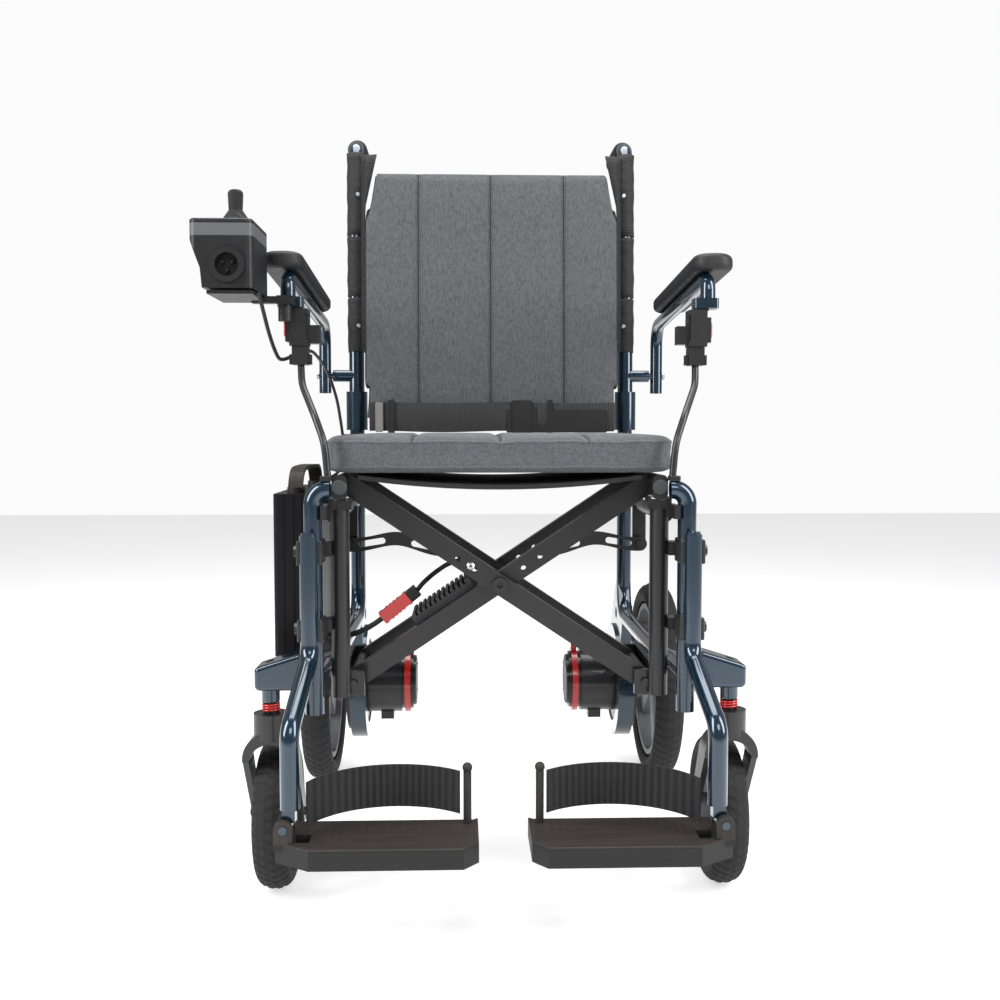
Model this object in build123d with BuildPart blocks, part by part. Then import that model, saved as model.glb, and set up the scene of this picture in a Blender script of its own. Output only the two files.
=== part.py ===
"""Folding power wheelchair: two tube side frames, a double cross brace, two hub motors and sprung casters.

Millimetres, +Z up, the footplates point to -Y. "right" is +X and "left" is -X, as seen from in front.
Most pieces are made once, on the right side, and mirrored for the left.
"""
import os
from math import atan2, cos, degrees, pi, radians, sin, tan

from build123d import *

os.makedirs("parts", exist_ok=True)

# ---------------------------------------------------------------- driving dimensions
MID_X = 24.0            # the chair's middle plane; the controller makes the left side wider
TUBE_R = 11.0           # side frame tube
WALL = 1.8              # wall of every frame tube
RUN = 0.06              # radial clearance of a running fit
GAP = 0.5               # clearance between pieces that must not touch

# wheels
DRIVE_R = 152.5
DRIVE_W = 43.0
DRIVE_X = 262.0
DRIVE_Y = 241.0
DRIVE_RIM_R = 119.0
CASTER_R = 89.0
CASTER_W = 40.0
CASTER_X = 266.0
CASTER_RIM_R = 63.0
STEM_Y = -244.0
TRAIL = 50.0            # the caster axle behind its stem

# side frame
POST_X = 218.0          # blue front upright
POST_Y = -228.0
POST_LOW = 216.0
POST_TOP = 478.0
REAR_X = 205.0          # rear upright
REAR_Y = 200.0
RAIL_Z = 262.0          # lower rail
SOCKET_LOW = 548.0
SOCKET_TOP = 606.0

# inner black post and its side rail
INNER_X = 190.0
INNER_Y = -200.0
SIDE_RAIL_X = 198.0
SIDE_RAIL_Z = 446.0
SIDE_RAIL_R = 8.5

# cross brace
PIVOT_X = 176.0
PIVOT_Z = 243.0
SEAT_RAIL_X = 189.0
SEAT_RAIL_Z = 480.0
CROSS_Z = 360.5         # the brace's centre bolt
PIVOT_R = 5.0
BAR_H = 24.0
BAR_T = 14.0
BAR_FRONTS = (-182.0, -62.0)     # front faces of the leading brace's two bars
BAR_STEP = 16.0                  # the trailing brace lies this far behind
BRACE_ANGLE = degrees(atan2(CROSS_Z - PIVOT_Z, PIVOT_X))
HALF_ARM = PIVOT_X / cos(radians(BRACE_ANGLE))

# links between side rail and brace
LINK_X = 195.0
LINK_Z = 394.0
LINK_Y = -20.0
LINK_T = 4.0
LINK_END_X = 60.0
LINK_END_Z = 400.5

# footrests
HANGER_R = 10.5
HANGER_X = 219.0
HANGER_Y = -260.0
HANGER_FOOT_X = 228.0
HANGER_FOOT_Y = -358.0
PLATE_TOP = 113.6
PLATE_T = 22.0
PLATE_FRONT = -393.5
PLATE_BACK = -300.0
PLATE_IN = 28.0
PLATE_OUT = 243.0
FLIP_X = 234.0
FLIP_Z = 128.0
HEEL_POST_X = 40.0
HEEL_POST_Y = -314.0

# back canes and armrests
CANE_R = 11.5
CANE_X = 207.0
CANE_TOP_Y = 225.0
HANDLE_Z = 983.0
HANDLE_END = 340.0
GRIP_R = 15.0
ARM_X = 253.0
ARM_R = 9.0
ARM_HINGE_Y = 200.0
ARM_HINGE_Z = 630.0
ARM_BACK_Z = 706.0
ARM_FRONT_Z = 731.0
ARM_FRONT_Y = -166.0
LATCH_X = 239.0
LATCH_Y = -163.0
LATCH_LOW = 648.0
LATCH_TOP = 692.0

# drive motors
MOTOR_R = 49.0
MOTOR_IN = 118.0
GEAR_R = 65.0
RING_R = 88.0
RING_IN = 192.0
RING_OUT = 216.0
SHAFT_R = 8.0

# seat and back
SEAT_HALF = 208.0
SEAT_FRONT = -220.0
SEAT_BACK = 168.0
SEAT_LOW = 497.0
SEAT_TOP = 541.0
BACK_HALF = 194.0
BACK_NARROW = 188.0      # half width between the cane sockets
BACK_LOW = 560.0
BACK_TOP = 936.0
BACK_T = 24.0

# battery
BATTERY_IN = 229.5
BATTERY_OUT = 277.0
BATTERY_FRONT = -150.0
BATTERY_BACK = 110.0
BATTERY_LOW = 268.0
BATTERY_TOP = 469.0

# controller on the left armrest
BOX_X = -305.0
BOX_FRONT = -280.0
BOX_BACK = -181.0
BOX_TOP = 779.0
BOX_LOW = 703.0
STICK_Y = -212.0


# ---------------------------------------------------------------- helpers
def save(piece, label):
    """Write one node, with the chair's middle plane moved to MID_X."""
    placed = Pos(MID_X, 0, 0) * piece
    placed.label = label
    export_step(placed, f"parts/{label}.step")


def save_pair(piece, label):
    """Write a right-hand piece and its mirror image on the left."""
    save(piece, f"right_{label}")
    save(mirror(piece, about=Plane.YZ), f"left_{label}")


def tube(points, bends, radius, wall=WALL):
    """A bent tube through the points; bends holds the centre-line radius at each inner point."""
    with BuildPart() as made:
        with BuildLine() as path:
            if bends:
                FilletPolyline(*points, radius=bends)
            else:
                Line(*points)
        with BuildSketch(Plane(origin=path.line @ 0, z_dir=path.line % 0)):
            Circle(radius)
            if wall:
                Circle(radius - wall, mode=Mode.SUBTRACT)
        sweep()
    return made.part


def rod_x(radius, x0, x1, y, z):
    """A solid round bar along X."""
    with BuildPart() as made:
        with BuildSketch(Plane(origin=(x0, y, z), z_dir=(1, 0, 0))):
            Circle(radius)
        extrude(amount=x1 - x0)
    return made.part


def rod_y(radius, x, y0, y1, z):
    """A solid round bar along Y."""
    with BuildPart() as made:
        with BuildSketch(Plane(origin=(x, y0, z), z_dir=(0, 1, 0))):
            Circle(radius)
        extrude(amount=y1 - y0)
    return made.part


def rod_z(radius, x, y, z0, z1):
    """A solid round bar along Z."""
    with BuildPart() as made:
        with BuildSketch(Plane(origin=(x, y, z0))):
            Circle(radius)
        extrude(amount=z1 - z0)
    return made.part


def block(x0, x1, y0, y1, z0, z1, round_r=0.0):
    """A box between two corners, its edges rounded by round_r."""
    with BuildPart() as made:
        with Locations(((x0 + x1) / 2, (y0 + y1) / 2, (z0 + z1) / 2)):
            Box(x1 - x0, y1 - y0, z1 - z0)
        if round_r:
            fillet(made.edges(), round_r)
    return made.part


# ---------------------------------------------------------------- side frame (welded, blue)
post = tube([(POST_X, POST_Y, POST_LOW), (POST_X, POST_Y, POST_TOP), (POST_X - 20, POST_Y, POST_TOP)],
            [17.0], TUBE_R)
rail = tube([(REAR_X, REAR_Y, SOCKET_LOW + 8), (REAR_X, REAR_Y, RAIL_Z), (REAR_X, -110, RAIL_Z),
             (POST_X, -160, RAIL_Z), (POST_X, POST_Y + 6, RAIL_Z)], [45.0, 60.0, 60.0], TUBE_R)
post_plug = rod_z(TUBE_R - WALL, POST_X, POST_Y, POST_LOW, POST_LOW + 3)

BEAM_FRONT = STEM_Y - 20
BEAM_BACK = STEM_Y + 22
BEAM_ROOT = HANGER_X + HANGER_R + 1.5
BEAM_END = 282.0
with BuildPart() as beam:            # outrigger, tapering towards the caster stem
    with BuildSketch(Plane(origin=(0, BEAM_BACK, 0), z_dir=(0, -1, 0), x_dir=(1, 0, 0))):
        with BuildLine():
            Polyline((BEAM_ROOT, 250.5), (BEAM_END, 250.5), (BEAM_END, 277), (BEAM_ROOT, 293), close=True)
        make_face()
    extrude(amount=BEAM_BACK - BEAM_FRONT)
    fillet(beam.edges().filter_by(Axis.Y).group_by(Axis.X)[-1], 6.0)
    fillet(beam.edges().filter_by(Axis.Z).group_by(Axis.X)[-1], 5.0)
with BuildPart() as beam_root:       # the beam's narrow neck into the front upright
    with Locations(((POST_X + BEAM_ROOT) / 2 + 3, POST_Y - 4, 271)):
        Box(BEAM_ROOT - POST_X + 6, 20, 38)

RING_T = RING_OUT - RING_IN
with BuildPart() as motor_ring:
    with BuildSketch(Plane(origin=(RING_IN, DRIVE_Y, DRIVE_R), z_dir=(1, 0, 0))):
        Circle(RING_R)
    extrude(amount=RING_T)
    with BuildSketch(Plane(origin=(RING_IN + 4, 0, 0), z_dir=(1, 0, 0), x_dir=(0, 1, 0))):
        with BuildLine():
            Polyline((150, RAIL_Z - 4), (162, RAIL_Z - 30), (176, 200), (250, 215), (296, 222),
                     (240, 292), (REAR_Y, 330), (REAR_Y - 8, 306), (REAR_Y - 20, 278), close=True)
        make_face()
    extrude(amount=RING_T - 8)
    with BuildSketch(Plane(origin=(RING_IN, DRIVE_Y, DRIVE_R), z_dir=(1, 0, 0))):
        Circle(GEAR_R + 0.4)
    extrude(amount=RING_T, mode=Mode.SUBTRACT)
    with BuildSketch(Plane(origin=(RING_IN, REAR_Y + 18, 262), z_dir=(1, 0, 0))):
        Circle(9)
    extrude(amount=RING_T, mode=Mode.SUBTRACT)

socket = rod_z(16.0, REAR_X, REAR_Y - 2, SOCKET_LOW, SOCKET_TOP)
CANE_START = (REAR_X, REAR_Y - 2, SOCKET_LOW + 12)
CANE_BEND = (CANE_X, CANE_TOP_Y, HANDLE_Z)
with BuildPart() as cane_bore:
    cane_way = Vector(*CANE_BEND) - Vector(*CANE_START)
    with BuildSketch(Plane(origin=CANE_START, z_dir=cane_way)):
        Circle(CANE_R + 0.05)
    extrude(amount=70)

STEM_R = 6.2
STEM_TOP = 286.0
SLEEVE_LOW = 236.0
stem_bore = rod_z(STEM_R + RUN, CASTER_X, STEM_Y, SLEEVE_LOW - 1, STEM_TOP + 2)
sleeve = rod_z(10.5, CASTER_X, STEM_Y, SLEEVE_LOW, 251.0)
side_frame = (post + rail + post_plug + beam.part + beam_root.part + motor_ring.part
              + socket + sleeve) - cane_bore.part - stem_bore
save_pair(side_frame, "side_frame")

# ---------------------------------------------------------------- inner post (black), lugs, cradle, clamps
LUG_Z0 = PIVOT_Z - 15
LUG_Z1 = PIVOT_Z + 15
LUG_FRONT = (-192.0, -184.0)
LUG_REAR = (-29.0, -21.0)
inner_tube = rod_z(TUBE_R + 0.3, INNER_X, INNER_Y, LUG_Z0 + 2, SEAT_RAIL_Z - 22)
side_rail = rod_y(SIDE_RAIL_R, SIDE_RAIL_X, INNER_Y, REAR_Y - TUBE_R - 0.2, SIDE_RAIL_Z)
carrier = block(PIVOT_X + 12.5, PIVOT_X + 17.5, -195, LUG_REAR[1], LUG_Z0, LUG_Z1)
lug_front = block(PIVOT_X - 13, PIVOT_X + 17.5, *LUG_FRONT, LUG_Z0, LUG_Z1)
lug_rear = block(PIVOT_X - 13, PIVOT_X + 17.5, *LUG_REAR, LUG_Z0, LUG_Z1)
pivot_pin = rod_y(PIVOT_R, PIVOT_X, LUG_FRONT[0] - 5, LUG_REAR[1] + 5, PIVOT_Z)
inner_post = inner_tube + side_rail + carrier + lug_front + lug_rear + pivot_pin

with BuildPart() as cradle:          # open saddle under the seat rail
    with Locations((SEAT_RAIL_X, INNER_Y + 2, SEAT_RAIL_Z - 19)):
        Box(28, 26, 14)
    with Locations((SEAT_RAIL_X, INNER_Y + 2, SEAT_RAIL_Z - 8.5)):
        Box(20, 26, 14, mode=Mode.SUBTRACT)
inner_post += cradle.part

with BuildPart() as link_hanger:     # plate that carries the slotted link's pivot
    with Locations((LINK_X, LINK_Y + 8, (SIDE_RAIL_Z + LINK_Z) / 2)):
        Box(18, 6, SIDE_RAIL_Z - LINK_Z)
    with BuildSketch(Plane(origin=(LINK_X, LINK_Y + 5, LINK_Z), z_dir=(0, 1, 0))):
        Circle(9)
    extrude(amount=6)
link_pin = rod_y(3.0, LINK_X, LINK_Y - LINK_T - 3, LINK_Y + 8, LINK_Z)
link_pin_head = rod_y(5.5, LINK_X, LINK_Y - LINK_T - 3, LINK_Y - LINK_T - 0.3, LINK_Z)
inner_post += link_hanger.part
inner_post += link_pin
inner_post += link_pin_head

CLAMP_BANDS = ((306.0, 332.0), (394.0, 422.0))
with BuildPart() as corner:          # bracket between the front upright's bent end and the inner post
    with Locations((204.5, -221, 452)):
        Box(7, 40, 16)
    with Locations((201, -206, 452)):
        Box(10, 10, 16)
inner_post += corner.part - rod_z(TUBE_R + 0.05, POST_X, POST_Y, 430, 470)

hanger_path = [(HANGER_X, HANGER_Y, 428), (HANGER_X, HANGER_Y, 288),
               (HANGER_FOOT_X, HANGER_FOOT_Y, 230), (HANGER_FOOT_X, HANGER_FOOT_Y, 146)]
clamps = None
for low, high in CLAMP_BANDS:
    band = block(POST_X - 14, POST_X + 15, HANGER_Y - 3, POST_Y + 3, low, high, 2.0)
    band -= rod_z(TUBE_R + 0.05, POST_X, POST_Y, low - 5, high + 5)
    band -= rod_z(HANGER_R + 0.05, HANGER_X, HANGER_Y, low - 5, high + 5)
    with BuildPart() as hex_head:
        with BuildSketch(Plane(origin=(POST_X + 14, (HANGER_Y + POST_Y) / 2, (low + high) / 2),
                               z_dir=(1, 0, 0))):
            RegularPolygon(6.5, 6)
        extrude(amount=6)
    band += hex_head.part
    bridge = block(INNER_X + 8, POST_X - 10, POST_Y + 4, INNER_Y - 2, low + 6, high - 6)
    bridge -= rod_z(TUBE_R + 0.05, POST_X, POST_Y, low - 5, high + 5)
    inner_post += bridge
    clamps = band if clamps is None else clamps + band
save(inner_post + clamps, "right_inner_post")
battery_hooks = block(SIDE_RAIL_X + 6, BATTERY_IN, -82, -58, SIDE_RAIL_Z - 6, SIDE_RAIL_Z + 6)
battery_hooks += block(SIDE_RAIL_X + 6, BATTERY_IN, 38, 62, SIDE_RAIL_Z - 6, SIDE_RAIL_Z + 6)
battery_shelf = block(REAR_X + TUBE_R, BATTERY_IN, -80, 70, RAIL_Z + 1, RAIL_Z + 13)
save(mirror(inner_post + clamps + battery_hooks + battery_shelf, about=Plane.YZ), "left_inner_post")

# ---------------------------------------------------------------- hanger, footplate, heel strap
hanger = tube(hanger_path, [28.0, 26.0], HANGER_R)
hanger_cap = rod_z(HANGER_R - WALL, HANGER_X, HANGER_Y, 424, 431)
PIN_FRONT = HANGER_FOOT_Y - 17
PIN_BACK = HANGER_FOOT_Y + 17
with BuildPart() as knuckle:         # lower end of the hanger, between the footplate's ears
    with BuildSketch(Plane(origin=(FLIP_X, HANGER_FOOT_Y - 8, FLIP_Z), z_dir=(0, 1, 0))):
        Circle(9)
    extrude(amount=16)
    with Locations((HANGER_FOOT_X + 1, HANGER_FOOT_Y, 142)):
        Box(14, 14, 18)
foot_pin = rod_y(4.5, FLIP_X, PIN_FRONT, PIN_BACK, FLIP_Z)
save_pair(hanger + hanger_cap + knuckle.part + foot_pin, "hanger")

with BuildPart() as footplate:
    with BuildSketch(Plane.XY.offset(PLATE_TOP - PLATE_T)):
        with BuildLine():
            Polyline((PLATE_IN, PLATE_BACK + 6), (PLATE_IN, PLATE_FRONT + 20), (PLATE_IN + 16, PLATE_FRONT),
                     (PLATE_OUT - 38, PLATE_FRONT), (PLATE_OUT, PLATE_FRONT + 26),
                     (PLATE_OUT, PLATE_BACK), (PLATE_IN + 6, PLATE_BACK), close=True)
        make_face()
    extrude(amount=PLATE_T)
    fillet(footplate.faces().sort_by(Axis.Z)[-1].edges(), 3.0)
    with Locations((PLATE_OUT - 14, HANGER_FOOT_Y, PLATE_TOP)):      # recess under the hanger
        Box(44, 26, 16, mode=Mode.SUBTRACT)
    with BuildSketch(Plane(origin=(0, PIN_FRONT + 1, 0), z_dir=(0, 1, 0), x_dir=(1, 0, 0))):
        with Locations((FLIP_X, -FLIP_Z)):
            Circle(10)
        with Locations((FLIP_X, -(FLIP_Z + PLATE_TOP - 8) / 2)):
            Rectangle(20, FLIP_Z - PLATE_TOP + 8)
    extrude(amount=7)
    with BuildSketch(Plane(origin=(0, PIN_BACK - 8, 0), z_dir=(0, 1, 0), x_dir=(1, 0, 0))):
        with Locations((FLIP_X, -FLIP_Z)):
            Circle(10)
        with Locations((FLIP_X, -(FLIP_Z + PLATE_TOP - 8) / 2)):
            Rectangle(20, FLIP_Z - PLATE_TOP + 8)
    extrude(amount=7)
    with Locations((PLATE_OUT - 14, HANGER_FOOT_Y, PLATE_TOP - 8)):  # open channel through the ears' feet
        Box(44, 18, 40, mode=Mode.SUBTRACT)
footplate_body = footplate.part - rod_y(4.5 + RUN, FLIP_X, PIN_FRONT - 5, PIN_BACK + 5, FLIP_Z)
heel_post = rod_z(4.5, HEEL_POST_X, HEEL_POST_Y, PLATE_TOP - 2, 172)
with BuildPart() as heel_ball:
    with Locations((HEEL_POST_X, HEEL_POST_Y, 176)):
        Sphere(5.5)
save_pair(footplate_body + heel_post + heel_ball.part, "footplate")

STRAP_OUT = (HANGER_FOOT_X - 14.5, HANGER_FOOT_Y + 16)
STRAP_IN = (HEEL_POST_X + 8, HEEL_POST_Y + 8)
STRAP_SAG = (128, PLATE_BACK + 22)
STRAP_T = 3.0
with BuildPart() as heel_strap:      # webbing that sags back between the hanger and the heel post
    with BuildSketch(Plane.XY.offset(121)):
        with BuildLine():
            front = ThreePointArc(STRAP_OUT, STRAP_SAG, STRAP_IN)
            back = ThreePointArc(*[(x, y + STRAP_T) for x, y in (STRAP_OUT, STRAP_SAG, STRAP_IN)])
            Line(front @ 0, back @ 0)
            Line(front @ 1, back @ 1)
        make_face()
    extrude(amount=48)
save_pair(heel_strap.part, "heel_strap")

# ---------------------------------------------------------------- casters
AXLE_Y = STEM_Y + TRAIL
FORK_HALF = 31.0
LEG_T = 7.0
CROWN_TOP = 202.0
HOUSING_TOP = 222.0
with BuildPart() as fork:
    with BuildSketch(Plane(origin=(CASTER_X, STEM_Y, CROWN_TOP - 10))):
        Circle(20)
    extrude(amount=HOUSING_TOP - CROWN_TOP + 10)
    with BuildSketch(Plane(origin=(CASTER_X, STEM_Y - 17, 0), z_dir=(0, 1, 0), x_dir=(1, 0, 0))):
        with BuildLine():            # arch seen from the front, down to below the shoulders
            outer = ThreePointArc((-FORK_HALF, -168), (0, -CROWN_TOP), (FORK_HALF, -168))
            inner = ThreePointArc((-FORK_HALF + LEG_T, -168), (0, -CROWN_TOP + 14), (FORK_HALF - LEG_T, -168))
            Line(outer @ 0, inner @ 0)
            Line(outer @ 1, inner @ 1)
        make_face()
    extrude(amount=34)
    for side in (-1, 1):             # legs slanting back to the axle
        leg_x = CASTER_X + side * (FORK_HALF - LEG_T / 2)
        with BuildSketch(Plane(origin=(leg_x - LEG_T / 2, 0, 0), z_dir=(1, 0, 0), x_dir=(0, 1, 0))):
            with BuildLine():
                Polyline((STEM_Y - 17, 172), (STEM_Y + 17, 172), (AXLE_Y + 13, CASTER_R + 4),
                         (AXLE_Y + 8, CASTER_R - 12), (AXLE_Y - 8, CASTER_R - 12),
                         (AXLE_Y - 15, CASTER_R + 10), close=True)
            make_face()
        extrude(amount=LEG_T)
axle = rod_x(5.0, CASTER_X - FORK_HALF - 3, CASTER_X + FORK_HALF + 3, AXLE_Y, CASTER_R)
fork_bore = rod_z(STEM_R + RUN, CASTER_X, STEM_Y, CROWN_TOP - 8, HOUSING_TOP + 1)
save_pair(fork.part - fork_bore + axle, "caster_fork")

SPRING_R = 9.2
SPRING_WIRE = 1.35
SPRING_LOW = HOUSING_TOP + 0.4 + SPRING_WIRE
SPRING_HIGH = SLEEVE_LOW - 0.4 - SPRING_WIRE
stem = rod_z(STEM_R, CASTER_X, STEM_Y, CROWN_TOP - 7, STEM_TOP - 10)
stem += rod_z(10.0, CASTER_X, STEM_Y, HOUSING_TOP + 0.1, HOUSING_TOP + 0.35)
save_pair(stem, "caster_stem")
with BuildPart() as spring:
    with BuildLine() as coil:
        Helix(pitch=(SPRING_HIGH - SPRING_LOW) / 3.5, height=SPRING_HIGH - SPRING_LOW, radius=SPRING_R,
              center=(CASTER_X, STEM_Y, SPRING_LOW))
    with BuildSketch(Plane(origin=coil.line @ 0, z_dir=coil.line % 0)):
        Circle(SPRING_WIRE)
    sweep(is_frenet=True)
save_pair(spring.part, "caster_spring")


def wheel_parts(x, y, radius, width, rim_r, hub_r, hub_half, bore_r, spokes):
    """Tyre and spoked rim of one wheel whose axle lies along X."""
    with BuildPart() as tyre:
        with BuildSketch(Plane(origin=(x, y, radius), z_dir=(0, 1, 0), x_dir=(1, 0, 0))) as section:
            with Locations((0, (rim_r + radius) / 2)):
                RectangleRounded(width, radius - rim_r, width * 0.27)
        revolve(axis=Axis((x, y, radius), (1, 0, 0)))
    rim_half = width * 0.36
    with BuildPart() as rim:
        with BuildSketch(Plane(origin=(x - rim_half, y, radius), z_dir=(1, 0, 0))):
            Circle(rim_r)
            Circle(rim_r - 8, mode=Mode.SUBTRACT)
        extrude(amount=2 * rim_half)
        with BuildSketch(Plane(origin=(x - hub_half, y, radius), z_dir=(1, 0, 0))):
            Circle(hub_r)
        extrude(amount=2 * hub_half)
        with BuildSketch(Plane(origin=(x - 7, y, radius), z_dir=(1, 0, 0))):
            with PolarLocations((hub_r + rim_r - 6) / 2, spokes, 90):
                Rectangle(rim_r - hub_r - 4, rim_r * 0.24)
        extrude(amount=14)
    bore = rod_x(bore_r, x - 60, x + 60, y, radius)
    return tyre.part, rim.part - bore


caster_tyre, caster_rim = wheel_parts(CASTER_X, AXLE_Y, CASTER_R, CASTER_W, CASTER_RIM_R, 17,
                                      FORK_HALF - LEG_T - 0.5, 5 + RUN, 5)
save_pair(caster_tyre, "caster_tyre")
save_pair(caster_rim, "caster_rim")

# ---------------------------------------------------------------- drive wheels and motors
drive_tyre, drive_rim = wheel_parts(DRIVE_X, DRIVE_Y, DRIVE_R, DRIVE_W, DRIVE_RIM_R, 26, 22,
                                    SHAFT_R + RUN, 5)
save_pair(drive_tyre, "drive_tyre")
save_pair(drive_rim, "drive_rim")

with BuildPart() as motor:
    with BuildSketch(Plane(origin=(MOTOR_IN, DRIVE_Y, DRIVE_R), z_dir=(1, 0, 0))):
        Circle(39)
    extrude(amount=4)
    with BuildSketch(Plane(origin=(MOTOR_IN + 4, DRIVE_Y, DRIVE_R), z_dir=(1, 0, 0))):
        Circle(44)
    extrude(amount=18)
    with BuildSketch(Plane(origin=(MOTOR_IN + 22, DRIVE_Y, DRIVE_R), z_dir=(1, 0, 0))):
        Circle(MOTOR_R)
    extrude(amount=54)
    with BuildSketch(Plane(origin=(MOTOR_IN + 76, DRIVE_Y, DRIVE_R), z_dir=(1, 0, 0))):
        Circle(GEAR_R)
    extrude(amount=RING_OUT + 6 - MOTOR_IN - 76)
    with BuildSketch(Plane(origin=(RING_OUT + 0.2, DRIVE_Y, DRIVE_R), z_dir=(1, 0, 0))):
        Circle(GEAR_R + 10)
    extrude(amount=6)
    with Locations((MOTOR_IN + 45, DRIVE_Y - 6, DRIVE_R - MOTOR_R - 3)):
        Box(20, 24, 12)
motor_body = motor.part + rod_x(SHAFT_R, RING_OUT + 6, DRIVE_X + 27, DRIVE_Y, DRIVE_R)
save_pair(motor_body, "motor")

LEVER_IN = MOTOR_IN + 8
with BuildPart() as lever:           # free-wheel lever on a ring round the motor's inner end
    with BuildSketch(Plane(origin=(LEVER_IN, DRIVE_Y, DRIVE_R), z_dir=(1, 0, 0), x_dir=(0, 1, 0))):
        Circle(49.5)
        Circle(44 + 0.3, mode=Mode.SUBTRACT)
        with Locations((-8, 57)):
            Rectangle(9, 22)
    extrude(amount=9)
    with Locations((LEVER_IN + 3, DRIVE_Y - 8, DRIVE_R + 69)):
        Box(22, 12, 7)
save_pair(lever.part, "release_lever")

# ---------------------------------------------------------------- cross brace
REAR_END = LUG_REAR[0] - 0.6
FRONT_END = LUG_FRONT[1] + 0.6


def brace(side, bar_fronts):
    """One brace: low end on the side given, high end with its seat rail on the other side."""
    low = (side * PIVOT_X, PIVOT_Z)
    reach = SEAT_RAIL_X - 2
    slope = tan(radians(BRACE_ANGLE))
    high = (-side * reach, CROSS_Z + reach * slope)
    tilt = -side * BRACE_ANGLE
    length = ((high[0] - low[0]) ** 2 + (high[1] - low[1]) ** 2) ** 0.5
    middle = ((low[0] + high[0]) / 2, (low[1] + high[1]) / 2)
    with BuildPart() as made:
        for front in bar_fronts:
            with BuildSketch(Plane(origin=(middle[0], front, middle[1]), z_dir=(0, 1, 0), x_dir=(1, 0, 0))):
                with Locations(Location((0, 0, 0), (0, 0, -tilt))):
                    Rectangle(length, BAR_H)
                with Locations((low[0] - middle[0], middle[1] - low[1])):
                    Circle(BAR_H / 2)
            extrude(amount=BAR_T)
            with BuildSketch(Plane(origin=(0, front, 0), z_dir=(0, 1, 0), x_dir=(1, 0, 0))):
                for fraction in (0.27, 0.16):       # lightening hole and cap screw hole
                    with Locations((-side * reach * fraction, -(CROSS_Z + reach * fraction * slope) + 2)):
                        Circle(3.4)
            extrude(amount=BAR_T, mode=Mode.SUBTRACT)
        with BuildSketch(Plane(origin=(low[0], FRONT_END, low[1]), z_dir=(0, 1, 0))):
            Circle(TUBE_R)
        extrude(amount=REAR_END - FRONT_END)
        with BuildSketch(Plane(origin=(-side * SEAT_RAIL_X, SEAT_FRONT + 6, SEAT_RAIL_Z), z_dir=(0, 1, 0),
                               x_dir=(1, 0, 0))):
            RectangleRounded(18, 29, 7)
        extrude(amount=SEAT_BACK - SEAT_FRONT - 6)
    cut = rod_y(PIVOT_R + RUN, low[0], FRONT_END - 5, REAR_END + 5, low[1])
    cut += rod_y(5 + RUN, 0, -200, 0, CROSS_Z)
    return made.part - cut


lead_brace = brace(1, BAR_FRONTS)
trail_brace = brace(-1, [front + BAR_STEP for front in BAR_FRONTS])
save(lead_brace, "lead_brace")
save(trail_brace, "trail_brace")

bolt_front = BAR_FRONTS[0]
bolt_back = BAR_FRONTS[1] + BAR_STEP + BAR_T
with BuildPart() as bolt:
    with BuildSketch(Plane(origin=(0, bolt_front - 6, CROSS_Z), z_dir=(0, 1, 0))):
        Circle(9)
    extrude(amount=6)
    with BuildSketch(Plane(origin=(0, bolt_front - 6, CROSS_Z), z_dir=(0, 1, 0))):
        RegularPolygon(4, 6)
    extrude(amount=4, mode=Mode.SUBTRACT)
    with BuildSketch(Plane(origin=(0, bolt_back + 0.3, CROSS_Z), z_dir=(0, 1, 0))):
        RegularPolygon(9, 6)
    extrude(amount=6)
save(bolt.part + rod_y(5, 0, bolt_front, bolt_back + 1, CROSS_Z), "brace_bolt")

with BuildPart() as power_box:       # finned controller lying on the trailing brace's left half
    lift = Plane(origin=(-60, BAR_FRONTS[0] + BAR_STEP + BAR_T + 4, CROSS_Z - 60 * tan(radians(BRACE_ANGLE))),
                 z_dir=(0, 1, 0), x_dir=(cos(radians(BRACE_ANGLE)), 0, sin(radians(BRACE_ANGLE))))
    with BuildSketch(lift):
        with Locations((0, -10)):
            RectangleRounded(86, 30, 4)
    extrude(amount=78)
    with BuildSketch(lift):
        with GridLocations(7, 1, 11, 1):
            with Locations((0, -24)):
                Rectangle(3, 7)
    extrude(amount=78, mode=Mode.SUBTRACT)
    with BuildSketch(lift.offset(-4)):
        with Locations((0, 4)):
            Rectangle(50, 10)
    extrude(amount=86)
save(power_box.part, "power_controller")

LINK_LEN = LINK_X - LINK_END_X
with BuildPart() as link:            # slotted link, dipping in its middle
    with BuildSketch(Plane(origin=(LINK_X, LINK_Y, LINK_Z), z_dir=(0, -1, 0), x_dir=(-1, 0, 0))):
        with BuildLine():
            top = Spline((0, 9.5), (30, 6), (62, 1), (95, 10), (LINK_LEN, LINK_END_Z - LINK_Z + 9))
            low = Spline((0, -9.5), (30, -12), (62, -17), (95, -9), (LINK_LEN, LINK_END_Z - LINK_Z - 9))
            ThreePointArc(top @ 0, (-9.5, 0), low @ 0)
            ThreePointArc(top @ 1, (LINK_LEN + 9, LINK_END_Z - LINK_Z), low @ 1)
        make_face()
        with Locations(Location((29, -3, 0), (0, 0, -9))):
            SlotOverall(36, 8.5, mode=Mode.SUBTRACT)
        with Locations(Location((98, 1.5, 0), (0, 0, 12))):
            SlotOverall(34, 8.5, mode=Mode.SUBTRACT)
    extrude(amount=LINK_T)
save_pair(link.part - rod_y(3 + RUN, LINK_X, LINK_Y - 10, LINK_Y + 10, LINK_Z), "link")

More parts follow.
